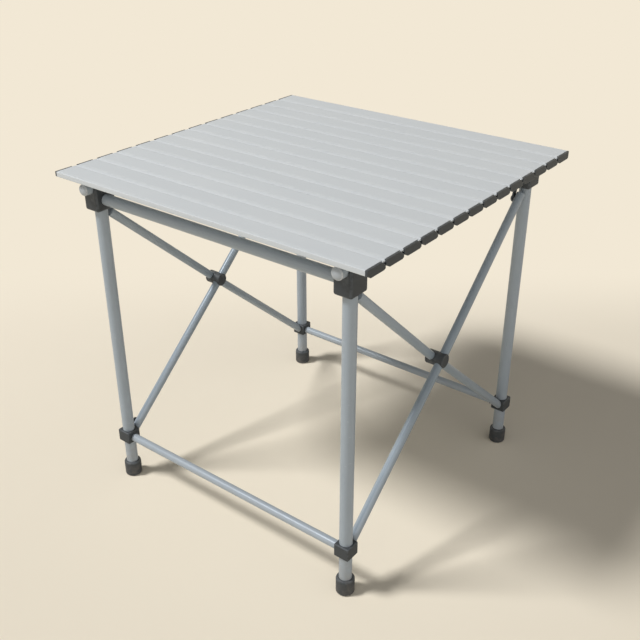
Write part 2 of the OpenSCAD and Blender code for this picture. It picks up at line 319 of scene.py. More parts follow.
# %% [markdown]
# ## The dark mouldings
# Blocks, collars, hubs, feet and end caps are moulded in charcoal plastic. The mould's skin is finely
# grained, the edges are rubbed to a paler grey, and dust lies on what faces up and near the ground. The
# plugs of the rails are the same plastic in a paler grey, so one function makes both finishes.

# %% Moulded plastic finishes
MOULD_DUST = grey(0.34, 0.14)
RUBBED_PALER = 2.6


def moulded(name, deep, pale, roughness):
    finish = Finish(name, Specular_IOR_Level=0.3)
    place = finish.place()
    height = finish.parts(place)[2]
    facing = finish.parts(finish.make("ShaderNodeNewGeometry", out="Normal"))[2]
    grid = {"Vector": place, "Scale": 1500.0}
    pits = finish.make("ShaderNodeTexVoronoi", {"feature": "SMOOTH_F1"}, grid)
    pebble = finish.noise(place, 900.0, 3.0, 0.6)
    cloud = finish.noise(place, 38.0, 4.0, 0.55)
    scuff = finish.noise(place, 120.0, 4.0, 0.7).between(0.56, 0.7) * cloud.between(0.45, 0.65)
    edge = finish.kept("edge", "Fac") * finish.noise(place, 160.0, 3.0).between(0.3, 0.62)
    ground = 1 - height.between(0.004, 0.05)
    dust = finish.noise(place, 70.0, 5.0, 0.65).between(0.35, 0.8)
    dusty = dust * (0.15 * facing.between(0.5, 1.0) + 0.6 * ground)
    rubbed = tuple(min(1.0, RUBBED_PALER * c) for c in pale[:3]) + (1.0,)
    skin = finish.mix(0.3 + 0.5 * cloud + 0.2 * (pebble - 0.5), deep, pale)
    skin = finish.mix(0.35 * edge + 0.12 * scuff, skin, rubbed)
    skin = finish.mix(0.4 * dusty, skin, MOULD_DUST)
    finish.feed(
        Base_Color=skin,
        Roughness=roughness + 0.12 * (pebble - 0.5) + 0.2 * dusty - 0.12 * edge + 0.06 * scuff,
        Normal=finish.bump(pits * 0.5 + pebble * 0.5, 0.35, 0.12 * MM),
    )
    return finish


charcoal_finish = moulded("charcoal_moulding", grey(0.044, -0.12), grey(0.057, -0.12), 0.55)
plug_finish = moulded("grey_moulding", grey(0.37, -0.08), grey(0.44, -0.08), 0.46)
print("mouldings:", len(charcoal_finish.tree.nodes), "nodes each")

# %% [markdown]
# ## Pins and rivets
# They are plain turned steel: rings of the lathe tool round their axis, which points along X, and
# slightly brown spots where the zinc has gone. A wave texture could draw the rings, but it makes them all
# alike; noise on the distance from the axis varies from ring to ring.

# %% Steel finish
STEEL_DEEP = grey(0.38)
STEEL_PALE = grey(0.52)
STEEL_SPOT = grey(0.16, 0.25)

steel_finish = Finish("turned_steel", Metallic=0.9, Specular_IOR_Level=0.5)
place = steel_finish.place()
along, across, over = steel_finish.parts(steel_finish.kept("grain", "Vector"))
radius = (across * across + over * over).root()
rings = steel_finish.noise(steel_finish.vector(radius * 4000, along * 900, 0.0), 1.0, 2.0)
spots = steel_finish.noise(place, 420.0, 4.0, 0.6).between(0.56, 0.7)
skin = steel_finish.mix(rings, STEEL_DEEP, STEEL_PALE)
steel_finish.feed(
    Base_Color=steel_finish.mix(0.35 * spots, skin, STEEL_SPOT),
    Roughness=0.32 + 0.14 * rings + 0.3 * spots,
    Normal=steel_finish.bump(rings, 0.2, 0.08 * MM),
)
FINISHES = {
    "slat_aluminium": slat_finish,
    "frame_tube": tube_finish,
    "charcoal_plastic": charcoal_finish,
    "plug_plastic": plug_finish,
    "rivet_steel": steel_finish,
}
print("finishes:", ", ".join(FINISHES))

# %% [markdown]
# ## Pushed and turned shapes
# Most pieces of the table are either a drawing that is pushed along one direction or a drawing that is
# turned about an axis. Lists of all points and faces could be worked out by hand, but Blender's extrude
# and spin do it from the drawing alone, and close the shape.

# %% Pushed and turned shapes
ROUND_STEPS = 48


def push(outline, low, high, spread):
    """A prism: the outline's points are spread into space by a function, from low to high."""
    bm = bmesh.new()
    face = bm.faces.new([bm.verts.new(spread(p, low)) for p in outline])
    moved = bmesh.ops.extrude_face_region(bm, geom=[face])["geom"]
    shift = Vector(spread((0, 0), high)) - Vector(spread((0, 0), low))
    bmesh.ops.translate(bm, verts=[g for g in moved if isinstance(g, bmesh.types.BMVert)], vec=shift)
    bmesh.ops.recalc_face_normals(bm, faces=bm.faces)
    return bm


def along_x(point, x):
    return (x, point[0], point[1])


def along_y(point, y):
    return (point[0], y, point[1])


def turn(profile, steps=ROUND_STEPS):
    """A turned shape about Z from (radius, height) pairs. A closed profile ends with its first pair."""
    bm = bmesh.new()
    verts = [bm.verts.new((r, 0, h)) for r, h in profile]
    edges = [bm.edges.new(pair) for pair in zip(verts, verts[1:])]
    bmesh.ops.spin(
        bm, geom=verts + edges, cent=(0, 0, 0), axis=(0, 0, 1), angle=math.tau, steps=steps, use_merge=True
    )
    bmesh.ops.remove_doubles(bm, verts=bm.verts, dist=1e-6)
    bmesh.ops.recalc_face_normals(bm, faces=bm.faces)
    return bm


def arc(cx, cy, r, start, end, count):
    """Points on part of a circle, with both ends, in degrees."""
    angles = [math.radians(start + (end - start) * k / count) for k in range(count + 1)]
    return [(cx + r * math.cos(a), cy + r * math.sin(a)) for a in angles]


print("a full turn takes", ROUND_STEPS, "steps")

# %% [markdown]
# ## Rounded edges
# No real edge is perfectly sharp, and its round catches the light. A Bevel modifier could round every
# piece when it is drawn. Here the bevel is part of the mesh, because the worn edges are later found on
# the rounded shape.

# %% Rounding, placing and joining
SHARP_ANGLE = math.radians(25)


def soften(bm, width, segments=2, edges=None):
    """Rounds the given edges, or all sharp ones."""
    if edges is None:
        edges = [e for e in bm.edges if e.is_manifold and e.calc_face_angle() > SHARP_ANGLE]
    bmesh.ops.bevel(
        bm,
        geom=edges,
        offset=width,
        offset_type="OFFSET",
        segments=segments,
        profile=0.5,
        affect="EDGES",
        clamp_overlap=True,
        material=-1,
    )
    return bm


def put(bm, matrix):
    bmesh.ops.transform(bm, matrix=matrix, verts=bm.verts)
    return bm


def new_mesh(name, bm):
    """Turns a bmesh into a mesh and frees it."""
    mesh = bpy.data.meshes.new(name)
    bm.to_mesh(mesh)
    bm.free()
    return mesh


def gather(parts):
    """Several shells as one bmesh."""
    whole = bmesh.new()
    for part in parts:
        shell = new_mesh("shell", part)
        whole.from_mesh(shell)
        bpy.data.meshes.remove(shell)
    return whole


print("edges over", round(math.degrees(SHARP_ANGLE)), "degrees are rounded")

# %% [markdown]
# ## Finishing a piece
# The finishes read a few things from the mesh: how near an edge is, which way a tube runs, and where the
# seams of a slat are. They could be painted by hand, but they follow from the shape, so they are worked
# out and stored as attributes. `finish_piece` then puts the mesh on its body and hides the plain node that
# it stands for.

# %% Finishing a piece
EDGE_ANGLE = math.radians(14)
SMOOTH_ANGLE = math.radians(32)
EDGE_BAND = 1.5 * MM
BROAD_FACE = 4 * MM


def keep_grain(bm):
    """Stores each point's own coordinates before the shape is put in place: first along Z, then across."""
    layer = bm.verts.layers.float_vector.new("grain")
    for v in bm.verts:
        v[layer] = (v.co.z, v.co.x, v.co.y)
    return bm


def keep_edges(bm, inset, widest):
    """Marks rounded edges. Broad flat faces first get an inner loop, so that the mark fades quickly."""
    broad = [f for f in bm.faces if min(e.calc_length() for e in f.edges) > widest]
    if inset and broad:
        bmesh.ops.inset_individual(bm, faces=broad, thickness=inset, use_even_offset=True)
    layer = bm.verts.layers.float.new("edge")
    for v in bm.verts:
        bent = [e for e in v.link_edges if e.is_manifold and e.calc_face_angle_signed() > EDGE_ANGLE]
        v[layer] = 1.0 if bent else 0.0


def finish_piece(name, bm, body, slot, nodes, inset=0.0, widest=BROAD_FACE, mark=None):
    keep_edges(bm, inset, widest)
    if mark:
        mark(bm)
    for f in bm.faces:
        f.smooth = True
    for e in bm.edges:
        e.smooth = not e.is_manifold or e.calc_face_angle() < SMOOTH_ANGLE
    mesh = new_mesh(name, bm)
    mesh.materials.append(FINISHES[slot].material)
    piece = new_object(name, mesh)
    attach(piece, body)
    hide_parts(*nodes)


print("faces meet smoothly up to", round(math.degrees(SMOOTH_ANGLE)), "degrees")

# %% [markdown]
# ## The slats
# Each slat is one extrusion. Along its rear edge runs a C-shaped groove, and along the front edge of the
# next slat an arm with a round bead that turns inside that groove, so the top can be rolled up. The first
# slat has a plain nose and the last one a plain back. Towards the front each top bends down a little,
# which shows as a paler band at each seam. A box with a bump map would do from far away, but the seams
# are open at the ends, so the outline is drawn once, as points of the cross-section, and pushed along X.

# %% Slat outlines
SLAT_COUNT = 14
SLAT_W = 48.2 * MM
SLAT_H = 15.3 * MM
FRONT_H = 9.3 * MM
CHAMFER = 10.0 * MM
BEVEL_RUN = 4.0 * MM
BEVEL_RISE = 1.8 * MM
REAR_DROP = 8.3 * MM
TOP_Z = cad_high[2]
UNDERSIDE = [
    (0, -FRONT_H),
    (CHAMFER, -SLAT_H),
    (SLAT_W - BEVEL_RUN, -SLAT_H),
    (SLAT_W, BEVEL_RISE - SLAT_H),
]

HINGE_BACK = 6.6 * MM
HINGE_DROP = 2.4 * MM
BEAD_R = 1.5 * MM
HINGE_PLAY = 0.08 * MM
NECK_TOP = (-4.7 * MM, -1.85 * MM)
NECK_LOW = (-3.9 * MM, -2.95 * MM)
ARM_FOOT = (0, -5.2 * MM)
ARM = [NECK_TOP] + arc(-HINGE_BACK, -HINGE_DROP, BEAD_R, 22, 338, 14) + [NECK_LOW]

GROOVE_U = SLAT_PITCH - HINGE_BACK
LIP_FOOT = (GROOVE_U + 2.6 * MM, -5.6 * MM)
LIP_LOW = (GROOVE_U + 2.37 * MM, -HINGE_DROP - 1.48 * MM)
LIP_TOP = (GROOVE_U + 0.2 * MM, 0)
GROOVE = arc(GROOVE_U, -HINGE_DROP, BEAD_R + HINGE_PLAY, -32, -275, 14)

CROWN_FROM = 8 * MM
CROWN_END = -3.2 * MM
CROWN_BEND = 10.5  # the drop in metres is this times the squared distance from where the round starts


def crown(low, start=CROWN_FROM, count=4):
    """The gentle round along the front of a slat's top, as points from start forwards to low."""
    steps = [start + (low - start) * k / count for k in range(count + 1)]
    return [(u, -CROWN_BEND * (CROWN_FROM - u) ** 2) for u in steps]


def slat_outline(number):
    """The cross-section as (distance from the slat's front, distance from its top)."""
    front = crown(0) if number == 1 else crown(CROWN_END) + ARM + [ARM_FOOT]
    if number == SLAT_COUNT:
        rear = [(SLAT_W, 0)]
    else:
        rear = [(SLAT_W, -REAR_DROP), LIP_FOOT, LIP_LOW] + GROOVE + [LIP_TOP]
    return front + UNDERSIDE + rear


def slat_front(number):
    return TOP_FRONT + (number - 1) * SLAT_PITCH


def at_slat(points, number):
    return [(slat_front(number) + u, TOP_Z + w) for u, w in points]


print("points in a slat's cross-section:", [len(slat_outline(n)) for n in (1, 2, SLAT_COUNT)])

# %% [markdown]
# The ends of an arm run on a little way past the slat, into the notches of the end caps, where they show
# as pale spots. They are short prisms of the arm's outline alone. The slopes of the hinges are marked for
# the finish, which darkens them with dust and with painted shade.

# %% Hinge ends and seams
ARM_INSIDE = 2.2 * MM
ARM_LAP = 1 * MM
ARM_GAP = 0.3 * MM
ARM_LOW = 5 * MM
SEAM_FROM = 2.6 * MM
SEAM_LIP = 0.3 * MM
NEAR = 0.1 * MM
slat_low, slat_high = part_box("slat_05")


def hinge_ends(number):
    """The two ends of a slat's arm, a little inside the outer faces of the caps."""
    outline = at_slat(crown(CROWN_END, -ARM_GAP, 2) + ARM + [(-ARM_GAP, -ARM_LOW)], number)
    left = (cad_low[0] + ARM_INSIDE, slat_low[0] + ARM_LAP)
    right = (slat_high[0] - ARM_LAP, cad_high[0] - ARM_INSIDE)
    return [push(outline, low, high, along_x) for low, high in (left, right)]


def seam_marks(number):
    """Gives the function that stores 1 on the slopes of a slat's hinges and 0 elsewhere. It also keeps the
    rubbed edge off the ends of the arm, which no hand reaches."""
    lip = GROOVE_U - SEAM_LIP if number < SLAT_COUNT else SLAT_PITCH

    def mark(bm):
        layer = bm.verts.layers.float.new("seam")
        edge = bm.verts.layers.float["edge"]
        for v in bm.verts:
            u = v.co.y - slat_front(number)
            on_slope = (u < -SEAM_FROM or u > lip) and v.co.z > TOP_Z - REAR_DROP
            v[layer] = 1.0 if on_slope else 0.0
            past = abs(v.co.x) - slat_high[0]
            if past > NEAR or abs(past + ARM_LAP) < NEAR:
                v[edge] = 0.0

    return mark


print("arm ends run", round((cad_high[0] - ARM_INSIDE - slat_high[0]) / MM, 1), "mm past the slats")

# %% [markdown]
# The long corners that a hand can reach are rounded by a third of a millimetre. The round inside the
# groove is left alone, since its points already lie on a circle.

# %% Slats
SLAT_ROUND = 0.35 * MM
CORNER_ANGLE = math.radians(38)
LONG_EDGE = 100 * MM


def slat_body(number):
    return "top_base" if number == SLAT_COUNT else f"row_{number:02d}"


def long_corners(bm):
    lengthwise = [e for e in bm.edges if abs(e.verts[0].co.x - e.verts[1].co.x) > LONG_EDGE]
    return [e for e in lengthwise if e.is_manifold and e.calc_face_angle() > CORNER_ANGLE]


for number in range(1, SLAT_COUNT + 1):
    bm = push(at_slat(slat_outline(number), number), slat_low[0], slat_high[0], along_x)
    soften(bm, SLAT_ROUND, 2, long_corners(bm))
    if number > 1:
        bm = gather([bm] + hinge_ends(number))
    name = f"slat_{number:02d}"
    mark = seam_marks(number)
    finish_piece(f"{name}_extrusion", bm, slat_body(number), "slat_aluminium", [name], EDGE_BAND, mark=mark)
print("slats:", SLAT_COUNT, "each", round((slat_high[0] - slat_low[0]) / MM), "mm long")

# %% [markdown]
# ## The end caps
# A dark cap closes each end of each slat. Its rear top corner is cut away, so that the caps clear each
# other when the top is rolled up, and through that notch the pale hinge shows. The notch could be cut out
# afterwards, but it runs straight through the cap, so it is part of the drawing. A small round on all
# edges gives the moulded look.

# %% End caps
CAP_NOTCH = 10.9 * MM
CAP_ROUND = 0.5 * MM
CAP_BAND = 0.8 * MM
CAP_BROAD = 2 * MM


def cap_outline(number):
    notch = [(SLAT_W, -REAR_DROP), (SLAT_W - CAP_NOTCH, 0)]
    return [(0, 0)] + UNDERSIDE + ([(SLAT_W, 0)] if number == SLAT_COUNT else notch)


for number in range(1, SLAT_COUNT + 1):
    outline = at_slat(cap_outline(number), number)
    spans = ((cad_low[0], slat_low[0]), (slat_high[0], cad_high[0]))
    caps = gather([soften(push(outline, low, high, along_x), CAP_ROUND) for low, high in spans])
    name = f"slat_{number:02d}_caps"
    node = f"caps_{number:02d}"
    finish_piece(name, caps, slat_body(number), "charcoal_plastic", [node], CAP_BAND, CAP_BROAD)
print("end caps:", 2 * SLAT_COUNT)

# %% [markdown]
# ## The guides under the rear slat
# Four small fins under the last slat stand on both sides of the rails and keep the top in line. They are
# plain boxes: a unit cube takes its size and place from one matrix, and its edges are rounded afterwards,
# so that the round is the same in all directions.

# %% Rail guides
FIN_T = 2.5 * MM
FIN_ROUND = 0.5 * MM
leg_low, leg_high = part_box("leg_front_right")
leg_x = (leg_low[0] + leg_high[0]) / 2
SIDES = {"left": -leg_x, "right": leg_x}


def rounded_box(low, high, width, segments=2):
    bm = bmesh.new()
    size = [b - a for a, b in zip(low, high)]
    middle = [(a + b) / 2 for a, b in zip(low, high)]
    matrix = Matrix.Translation(middle) @ Matrix.Diagonal((*size, 1))
    bmesh.ops.create_cube(bm, size=1, matrix=matrix)
    return soften(bm, width, segments)


fin_low, fin_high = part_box("rail_clips")
fin_reach = fin_high[0] - leg_x
fins = []
for side_x in SIDES.values():
    for near, far in ((fin_reach - FIN_T, fin_reach), (-fin_reach, FIN_T - fin_reach)):
        low = (side_x + near, fin_low[1], fin_low[2])
        high = (side_x + far, fin_high[1], fin_high[2])
        fins.append(rounded_box(low, high, FIN_ROUND))
finish_piece("rail_guides", gather(fins), "top_base", "charcoal_plastic", ["rail_clips"])
print("rail guides:", len(fins))

# %% [markdown]
# ## The tubes
# Legs, bars and rails are lengths of round tube. A cylinder would show the same from outside, but a real
# tube has a wall, so a ring-shaped wall is turned about its axis. The tube is made upright, keeps its
# grain, and is then laid in the tube's direction.

# %% Legs, bars and rails
TUBE_WALL = 1.5 * MM
TUBE_LIP = 0.4 * MM
TO_X = Matrix.Rotation(math.radians(90), 4, "Y")
TO_Y = Matrix.Rotation(math.radians(-90), 4, "X")
UPRIGHT = Matrix.Identity(4)
ENDS = {"front": -1, "rear": 1}


def tube(radius, length):
    inner = radius - TUBE_WALL
    half = length / 2
    low_end = [(inner, -half), (radius - TUBE_LIP, -half), (radius, -half + TUBE_LIP)]
    high_end = [(radius, half - TUBE_LIP), (radius - TUBE_LIP, half), (inner, half)]
    return keep_grain(turn(low_end + high_end + [(inner, -half)]))


def tube_for(node, direction):
    """A tube with the length, thickness and place of a node."""
    low, high = (Vector(c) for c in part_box(node))
    size = high - low
    return put(tube(min(size) / 2, max(size)), Matrix.Translation((low + high) / 2) @ direction)


for end in ENDS:
    frame_body = f"{end}_frame"
    for side in SIDES:
        leg = f"leg_{end}_{side}"
        finish_piece(f"{leg}_tube", tube_for(leg, UPRIGHT), frame_body, "frame_tube", [leg])
    for bar in (f"crossbar_{end}", f"stretcher_{end}"):
        finish_piece(f"{bar}_tube", tube_for(bar, TO_X), frame_body, "frame_tube", [bar])
for rail in ("rail_left", "rail_right"):
    finish_piece(f"{rail}_tube", tube_for(rail, TO_Y), "rails", "frame_tube", [rail])
print("legs 4, bars 4, rails 2")

# %% [markdown]
# ## The rail ends
# A domed plug closes each end of the rails. In front they show just under the nose of the first slat. The
# plug is turned like the tubes, from a stem that goes into the rail and a flattened quarter circle for
# the dome.

# %% Rail plugs
PLUG_IN = 12 * MM
DOME_STEPS = 8
rail_low, rail_high = (Vector(c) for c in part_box("rail_right"))
RAIL_R = (rail_high.z - rail_low.z) / 2
rail_z = (rail_high.z + rail_low.z) / 2
dome_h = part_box("rail_plugs")[1][1] - rail_high.y
dome_angles = [k * math.pi / (2 * DOME_STEPS) for k in range(DOME_STEPS + 1)]
dome = [(RAIL_R * math.cos(a), dome_h * math.sin(a)) for a in dome_angles]
stem = [(0, -PLUG_IN), (RAIL_R - TUBE_WALL, -PLUG_IN), (RAIL_R - TUBE_WALL, 0)]
plugs = []
for side_x in SIDES.values():
    for end_y, away in ((rail_low.y, -1), (rail_high.y, 1)):
        facing = Matrix.Rotation(math.radians(-90 * away), 4, "X")
        spot = Matrix.Translation((side_x, end_y, rail_z))
        plugs.append(put(keep_grain(turn(stem + dome)), spot @ facing))
finish_piece("rail_end_plugs", gather(plugs), "rails", "plug_plastic", ["rail_plugs"])
print("rail plugs:", len(plugs), "dome", round(dome_h / MM, 1), "mm")

# %% [markdown]
# ## The feet
# Each leg stands in a cup of dark plastic with a rounded base and rim. A bevelled cylinder would be
# solid, and the leg would pass through it. The profile here follows the outside, the rim and the inside
# of the cup, and is turned about the leg.

# %% Foot caps
FOOT_ROUND = 4 * MM
FOOT_LIP = 4.5 * MM
FOOT_FLOOR = 4 * MM
LEG_R = 12.25 * MM
rear_leg_low, rear_leg_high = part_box("leg_rear_right")
leg_y = (rear_leg_low[1] + rear_leg_high[1]) / 2
for end, sign in ENDS.items():
    low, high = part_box(f"feet_{end}")
    radius = (high[1] - low[1]) / 2
    tall = high[2] - low[2]
    base = arc(radius - FOOT_ROUND, FOOT_ROUND, FOOT_ROUND, -90, 0, 5)
    rim = arc(radius - FOOT_LIP, tall - FOOT_LIP, FOOT_LIP, 0, 90, 6)
    cup = [(0, 0)] + base + rim + [(LEG_R, tall), (LEG_R, FOOT_FLOOR), (0, FOOT_FLOOR)]
    pair = [put(turn(cup), Matrix.Translation((side_x, sign * leg_y, 0))) for side_x in SIDES.values()]
    finish_piece(f"foot_caps_{end}", gather(pair), f"{end}_frame", "charcoal_plastic", [f"feet_{end}"])
print("foot caps 4, radius", round(radius / MM, 2), "mm")

# %% [markdown]
# ## Saddles
# A U-shaped saddle runs across the top of each corner block, and the rail lies in it. The block's outline
# could hold the U, but then the large rounds would run into it. So the block is rounded first, and a
# Boolean modifier takes the saddle away.

# %% Saddles
BLOCK_W = 36 * MM
BLOCK_L = 44 * MM
BLOCK_H = 47.5 * MM
BLOCK_ROUND = 4.5 * MM
SADDLE_CLEAR = 0.3 * MM
SADDLE_OVER = 2.6 * MM  # how far the saddle's walls reach above the axis of the rail
SADDLE_R = RAIL_R + SADDLE_CLEAR
BLOCK_TOP = rail_z + SADDLE_OVER
BLOCK_FOOT = BLOCK_TOP - BLOCK_H


def carve(bm, cutter):
    """The first shape less the second. Both are objects only while the modifier works."""
    whole = new_object("whole", new_mesh("whole", bm))
    knife = new_object("knife", new_mesh("knife", cutter))
    cut = whole.modifiers.new("cut", "BOOLEAN")
    cut.operation = "DIFFERENCE"
    cut.object = knife
    left = bmesh.new()
    left.from_object(whole, bpy.context.evaluated_depsgraph_get())
    for used in (whole, knife):
        mesh = used.data
        bpy.data.objects.remove(used)
        bpy.data.meshes.remove(mesh)
    return left


def saddle(middle, low, high):
    over = BLOCK_TOP + BLOCK_ROUND
    seat = arc(middle, rail_z, SADDLE_R, 0, -180, 24)
    return push([(middle + SADDLE_R, over)] + seat + [(middle - SADDLE_R, over)], low, high, along_y)


print("saddle radius", round(SADDLE_R / MM, 2), "mm")

# %% [markdown]
# ## Corner blocks
# A block is a box with large rounds on all its edges. A flat lug beside the leg carries the pin of the
# brace. It is a disc and a bar, which overlap, as the parts of a moulding do. The bar is a hair thinner,
# so that no two faces lie in the same plane and flicker.

# %% Corner blocks
LUG_T = 3 * MM
LUG_X = 9.7 * MM
LUG_R = 7 * MM
LUG_ROUND = 0.5 * MM
LUG_STEPS = 40
HAIR = 0.02 * MM
BAR_OUT = 17 * MM
BAR_HALF = 5.5 * MM
BAR_UP = 30.7 * MM
BAR_LOW = 4 * MM
BLOCK_BAR = [(BAR_OUT, BAR_UP), (BAR_HALF, BAR_UP), (-BAR_HALF, BAR_LOW), (BAR_HALF, -BAR_LOW)]
PIN_INSET = 28 * MM
PIN_UNDER_BLOCK = 20.7 * MM
pin_y = leg_y - PIN_INSET
pin_top = BLOCK_FOOT - PIN_UNDER_BLOCK
CORNERS = [(end, sy, side, side_x) for end, sy in ENDS.items() for side, side_x in SIDES.items()]


def lug(side_x, sy):
    """A flat plate: a disc round the pin and a bar, given from the pin as (outwards to the leg, up)."""
    x0 = side_x - LUG_X - LUG_T
    ring = arc(sy * pin_y, pin_top, LUG_R, 0, 360 - 360 / LUG_STEPS, LUG_STEPS - 1)
    bar = [(sy * (pin_y + u), pin_top + w) for u, w in BLOCK_BAR]
    disc = push(ring, x0, x0 + LUG_T, along_x)
    plate = push(bar, x0 + HAIR, x0 + LUG_T - HAIR, along_x)
    return [soften(disc, LUG_ROUND), soften(plate, LUG_ROUND)]


for end, sy, side, side_x in CORNERS:
    low = Vector((side_x - BLOCK_W / 2, sy * leg_y - BLOCK_L / 2, BLOCK_FOOT))
    high = Vector((side_x + BLOCK_W / 2, sy * leg_y + BLOCK_L / 2, BLOCK_TOP))
    box = rounded_box(low, high, BLOCK_ROUND, 5)
    shell = carve(box, saddle(side_x, low.y - BLOCK_L, high.y + BLOCK_L))
    node = f"block_{end}_{side}"
    block = gather([shell] + lug(side_x, sy))
    finish_piece(f"{node}_moulding", block, f"{end}_frame", "charcoal_plastic", [node], EDGE_BAND)
print("corner blocks 4, foot of a block at", round(BLOCK_FOOT / MM, 1), "mm")

# %% [markdown]
# ## Collars
# Low on each leg a square collar takes the stretcher and the lower end of a brace. Its lug has a notch
# that is open below, so the brace's pin can be pulled out downwards when the frame is folded. The notch
# runs straight through the lug, so it is drawn as part of the outline and needs no cutting.

# %% Collars
COLLAR_W = 32 * MM
COLLAR_H = 27.5 * MM
COLLAR_Z = 102.7 * MM
COLLAR_ROUND = 2.5 * MM
NOTCH = 3.1 * MM
NOTCH_ROUND = 0.4 * MM
ROOT_OUT = 15 * MM
ROOT_TOP = 2 * MM
ROOT_LOW = 13 * MM
ARCH_END = 126  # degrees
PIN_OVER_COLLAR = 14.3 * MM
pin_foot = COLLAR_Z + PIN_OVER_COLLAR


def notched_lug(side_x, sy):
    """The lug with its notch, from the arch over the pin down to the two tips beside it."""
    x0 = side_x - LUG_X - LUG_T
    tip = math.acos(NOTCH / LUG_R)
    arch = arc(0, 0, LUG_R, -math.degrees(tip), ARCH_END, 18)
    root = [(-ROOT_OUT, -ROOT_TOP), (-ROOT_OUT, -ROOT_LOW)]
    slot = [(-NOTCH, -LUG_R * math.sin(tip)), (-NOTCH, NOTCH), (NOTCH, NOTCH)]
    outline = [(sy * (pin_y - u), pin_foot + w) for u, w in arch + root + slot]
    return soften(push(outline, x0, x0 + LUG_T, along_x), NOTCH_ROUND)


for end, sy, side, side_x in CORNERS:
    middle = Vector((side_x, sy * leg_y, COLLAR_Z))
    half = Vector((COLLAR_W / 2, COLLAR_W / 2, COLLAR_H / 2))
    shell = rounded_box(middle - half, middle + half, COLLAR_ROUND, 4)
    node = f"collar_{end}_{side}"
    collar = gather([shell, notched_lug(side_x, sy)])
    finish_piece(f"{node}_moulding", collar, f"{end}_frame", "charcoal_plastic", [node], EDGE_BAND)
print("collars 4, middle at", round(COLLAR_Z / MM, 1), "mm")

# %% [markdown]
# ## Braces
# A brace is a tube that is bent a little sideways in the middle, so that it passes beside the other brace
# at the hub, which hides the bend. A curve with a round bevel could make it, but its ends are always cut
# square. Here a ring at one end is extruded to the bend and on to the other end, so the two straight
# halves share one ring there, as in a mitre. The tube ends a little beyond its pins and is closed there;
# its lower end is cut upright, along the side of the collar.

# %% Braces
BRACE_R = 8.5 * MM
BRACE_ROUND = 0.6 * MM
BENDS = {-1: 16.5 * MM, 1: 2.5 * MM}  # how far a front (-1) and a rear (1) brace are bent sideways
STUB_UP = 13 * MM
LOW_CLEAR = 1.2 * MM
hub_z = (pin_top + pin_foot) / 2
brace_half = math.hypot(pin_y, (pin_top - pin_foot) / 2)
brace_tilt = math.atan2(pin_top - pin_foot, 2 * pin_y)
stub_low = (leg_y - COLLAR_W / 2 - LOW_CLEAR - pin_y) / math.cos(brace_tilt)


def along_brace(side_x, s):
    """From a brace drawn about its hub, with Y along it and +X out to its bend, to its place on the table."""
    flip = Matrix.Rotation(0 if s > 0 else math.pi, 4, "Y")
    return Matrix.Translation((side_x, 0, hub_z)) @ Matrix.Rotation(s * brace_tilt, 4, "X") @ flip


def bent_tube(s):
    """A brace: s is -1 for a front one, whose upper end lies at -Y, and 1 for a rear one."""
    near, far = (STUB_UP, stub_low) if s < 0 else (stub_low, STUB_UP)
    slope = BENDS[s] / brace_half
    start = Vector((-slope * near, -brace_half - near, 0))
    bend = Vector((BENDS[s], 0, 0))
    end = Vector((-slope * far, brace_half + far, 0))
    bm = bmesh.new()
    ring = Matrix.Translation(start) @ Matrix.Rotation(math.radians(90), 4, "X")
    bmesh.ops.create_circle(bm, cap_ends=False, radius=BRACE_R, segments=ROUND_STEPS, matrix=ring)
    ring_edges = list(bm.edges)
    for step in (bend - start, end - bend):
        made = bmesh.ops.extrude_edge_only(bm, edges=ring_edges)["geom"]
        verts = [g for g in made if isinstance(g, bmesh.types.BMVert)]
        bmesh.ops.translate(bm, verts=verts, vec=step)
        ring_edges = [g for g in made if isinstance(g, bmesh.types.BMEdge)]
    for v in bm.verts:
        if s * v.co.y < -brace_half:
            v.co.y += v.co.z * math.tan(brace_tilt)
    bmesh.ops.holes_fill(bm, edges=[e for e in bm.edges if e.is_boundary])
    bmesh.ops.recalc_face_normals(bm, faces=bm.faces)
    soften(bm, BRACE_ROUND)
    layer = bm.verts.layers.float_vector.new("grain")
    for v in bm.verts:
        v[layer] = (v.co.y, v.co.x - BENDS[s] + slope * abs(v.co.y), v.co.z)
    return bm


for end, s, side, side_x in CORNERS:
    brace = put(bent_tube(s), along_brace(side_x, s))
    node = f"brace_{end}_{side}"
    finish_piece(f"{node}_tube", brace, f"{end}_braces", "frame_tube", [node])
print("braces 4, tilt", round(math.degrees(brace_tilt), 2), "degrees")

# %% [markdown]
# ## Hubs
# The two braces of a side turn on a hub of two dark halves, one on each brace. From outside they look
# like one drum, and one drum would be simpler, but each half has to turn with its own brace when the
# frame folds. The halves are turned from a profile with a rounded rim and a shallow dish in the outer
# end.

# %% Hubs
HUB_R = 14 * MM
HUB_GAP = 0.3 * MM
HUB_COVER = 1 * MM
HUB_LIP = 1.6 * MM
HUB_EDGE = 0.4 * MM
HUB_RIM = 3.6 * MM
DISH_SLOPE = 0.6 * MM
DISH_DEEP = 0.4 * MM
HUB_STEPS = 56
hub_middle = (BENDS[1] - BENDS[-1]) / 2


def hub_half(s):
    """A half drawn along the brace's own +X, from the plane between the braces to its closed outer end."""
    inner = s * hub_middle + HUB_GAP
    outer = BENDS[s] + BRACE_R + HUB_COVER
    dish_r = HUB_R - HUB_RIM
    dish_z = outer - DISH_DEEP
    back = [(0, inner), (HUB_R - HUB_EDGE, inner), (HUB_R, inner + HUB_EDGE)]
    rim = arc(HUB_R - HUB_LIP, outer - HUB_LIP, HUB_LIP, 0, 90, 4)
    dish = [(dish_r, outer), (dish_r - DISH_SLOPE, dish_z), (0, dish_z)]
    return put(turn(back + rim + dish, HUB_STEPS), TO_X)


for end, s in ENDS.items():
    pair = [put(hub_half(s), along_brace(side_x, s)) for side_x in SIDES.values()]
    finish_piece(f"hub_halves_{end}", gather(pair), f"{end}_braces", "charcoal_plastic", [f"hubs_{end}"])
print("hub halves 4, radius", round(HUB_R / MM, 1), "mm")

